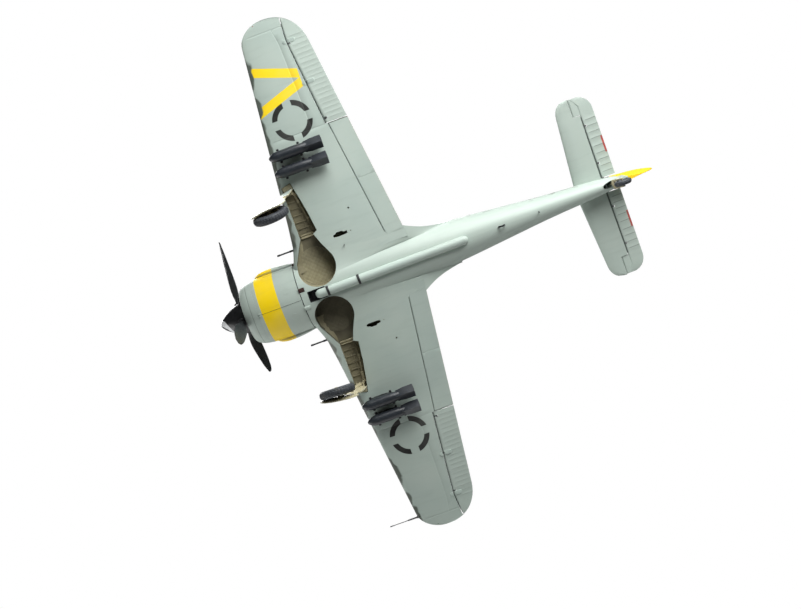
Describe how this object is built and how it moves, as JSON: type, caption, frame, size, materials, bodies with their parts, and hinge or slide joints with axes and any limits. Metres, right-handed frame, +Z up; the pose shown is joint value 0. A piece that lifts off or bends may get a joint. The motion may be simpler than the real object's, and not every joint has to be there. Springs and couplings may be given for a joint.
{
  "type": "model fighter plane",
  "caption": "Display model of a single-seat radial-engine fighter with turning propeller, folding landing gear, sliding canopy, hinged control surfaces and carried bombs.",
  "frame": {"origin": "centre of the model's bounding box in level flight attitude", "axes": "+X to the left wing tip, -Y towards the nose, +Z up, propeller axis level"},
  "size_m": [0.328, 0.28, 0.1118],
  "materials": {
    "underside_paint": "satin pale grey-green",
    "upper_camouflage": "satin two-tone grey-green camouflage",
    "cowling_paint": "satin pale grey-green with a yellow band",
    "rudder_paint": "satin yellow",
    "steel": "plain",
    "bay_paint": "matt tan primer",
    "gear_paint": "satin cream",
    "tyre_rubber": "matt dark grey",
    "bare_metal": "satin",
    "engine_paint": "satin dark metal",
    "burnt_metal": "matt reddish brown",
    "cockpit_paint": "matt dark grey",
    "black_plastic": "satin black",
    "clear_glazing": "clear",
    "bomb_paint": "satin slate grey",
    "blade_paint": "satin black-green",
    "spinner_paint": "black with a white spiral"
  },
  "bodies": {
    "airframe": {"fuselage_left": "underside_paint", "fuselage_right": "underside_paint", "tail_fin": "underside_paint", "tailplane_left": "underside_paint", "tailplane_right": "underside_paint", "wing_upper_left": "upper_camouflage", "wing_upper_right": "upper_camouflage", "wing_lower_left": "underside_paint", "wing_lower_right": "underside_paint", "wing_spar": "steel", "hinge_brackets": "steel", "wheel_well_left": "bay_paint", "wheel_well_right": "bay_paint", "retraction_struts": "gear_paint", "cowl_ring": "cowling_paint", "cowl_left": "cowling_paint", "cowl_right": "cowling_paint", "engine_block": "engine_paint", "firewall": "bay_paint", "exhaust_stubs": "burnt_metal", "cockpit_tub": "cockpit_paint", "pilot_seat": "cockpit_paint", "control_stick": "black_plastic", "instrument_panel": "black_plastic", "windscreen": "clear_glazing", "belly_tube": "underside_paint", "tube_straps": "black_plastic", "belly_aerials": "underside_paint", "wing_guns": "black_plastic", "pitot_tube": "bare_metal", "bomb_racks": "bomb_paint", "bombs": "bomb_paint", "bomb_tails": "bomb_paint"},
    "propeller": {"propeller_shaft": "steel", "propeller_blade_1": "blade_paint", "propeller_blade_2": "blade_paint", "propeller_blade_3": "blade_paint", "spinner": "spinner_paint", "spinner_backplate": "spinner_paint", "cooling_fan": "bare_metal"},
    "canopy": {"canopy_glass": "clear_glazing", "canopy_frame": "upper_camouflage"},
    "aileron_left": {"aileron_left": "underside_paint"},
    "aileron_right": {"aileron_right": "underside_paint"},
    "flap_left": {"flap_left": "underside_paint"},
    "flap_right": {"flap_right": "underside_paint"},
    "elevators": {"elevator_left": "underside_paint", "elevator_right": "underside_paint", "elevator_rod": "steel"},
    "rudder": {"rudder": "rudder_paint"},
    "gear_left": {"gear_leg_left": "gear_paint", "gear_door_left": "underside_paint"},
    "gear_right": {"gear_leg_right": "gear_paint", "gear_door_right": "underside_paint"},
    "wheel_left": {"tyre_left": "tyre_rubber", "hub_left": "gear_paint"},
    "wheel_right": {"tyre_right": "tyre_rubber", "hub_right": "gear_paint"},
    "tailwheel": {"tailwheel_fork": "bare_metal"},
    "tail_tyre": {"tail_wheel": "tyre_rubber"}
  },
  "joints": [
    {"name": "propeller_spin", "type": "hinge", "parent": "airframe", "child": "propeller", "pos_m": [0, -0.1258, 0.00688], "axis": [0, 1, 0], "continuous": true},
    {"name": "canopy_slide", "type": "slide", "parent": "airframe", "child": "canopy", "axis": [0, 0.9998, 0.02], "range_m": [0, 0.018]},
    {"name": "aileron_left_hinge", "type": "hinge", "parent": "airframe", "child": "aileron_left", "pos_m": [0.0937, -0.03495, 0.00149], "axis": [0.9913, -0.1081, 0.0746], "range_deg": [-18, 18]},
    {"name": "aileron_right_hinge", "type": "hinge", "parent": "airframe", "child": "aileron_right", "pos_m": [-0.0937, -0.03495, 0.00149], "axis": [0.9913, 0.1081, -0.0746], "range_deg": [-18, 18]},
    {"name": "flap_left_hinge", "type": "hinge", "parent": "airframe", "child": "flap_left", "pos_m": [0.0196, -0.02476, -0.00513], "axis": [-0.9887, 0.1313, -0.0726], "range_deg": [0, 50]},
    {"name": "flap_right_hinge", "type": "hinge", "parent": "airframe", "child": "flap_right", "pos_m": [-0.0196, -0.02476, -0.00513], "axis": [-0.9887, -0.1313, 0.0726], "range_deg": [0, 50]},
    {"name": "elevator_hinge", "type": "hinge", "parent": "airframe", "child": "elevators", "pos_m": [0, 0.1104, 0.01638], "axis": [1, 0, 0], "range_deg": [-25, 25]},
    {"name": "rudder_hinge", "type": "hinge", "parent": "airframe", "child": "rudder", "pos_m": [0, 0.1196, 0.00688], "axis": [0, 0, 1], "range_deg": [-25, 25]},
    {"name": "gear_left_fold", "type": "hinge", "parent": "airframe", "child": "gear_left", "pos_m": [0.062, -0.072, -0.00038], "axis": [0.1432, 0.9822, -0.1212], "range_deg": [0, 79.5]},
    {"name": "gear_right_fold", "type": "hinge", "parent": "airframe", "child": "gear_right", "pos_m": [-0.062, -0.072, -0.00038], "axis": [0.1432, -0.9822, 0.1212], "range_deg": [0, 79.5]},
    {"name": "wheel_left_spin", "type": "hinge", "parent": "gear_left", "child": "wheel_left", "pos_m": [0.0542, -0.0821, -0.04512], "axis": [0.9858, -0.0369, -0.1635], "continuous": true},
    {"name": "wheel_right_spin", "type": "hinge", "parent": "gear_right", "child": "wheel_right", "pos_m": [-0.0542, -0.0821, -0.04512], "axis": [0.9858, 0.0369, 0.1635], "continuous": true},
    {"name": "tailwheel_swivel", "type": "hinge", "parent": "airframe", "child": "tailwheel", "pos_m": [0, 0.1134, -0.00112], "axis": [0, 0, 1], "range_deg": [-60, 60]},
    {"name": "tailwheel_spin", "type": "hinge", "parent": "tailwheel", "child": "tail_tyre", "pos_m": [0, 0.1176, -0.00863], "axis": [1, 0, 0], "continuous": true}
  ]
}
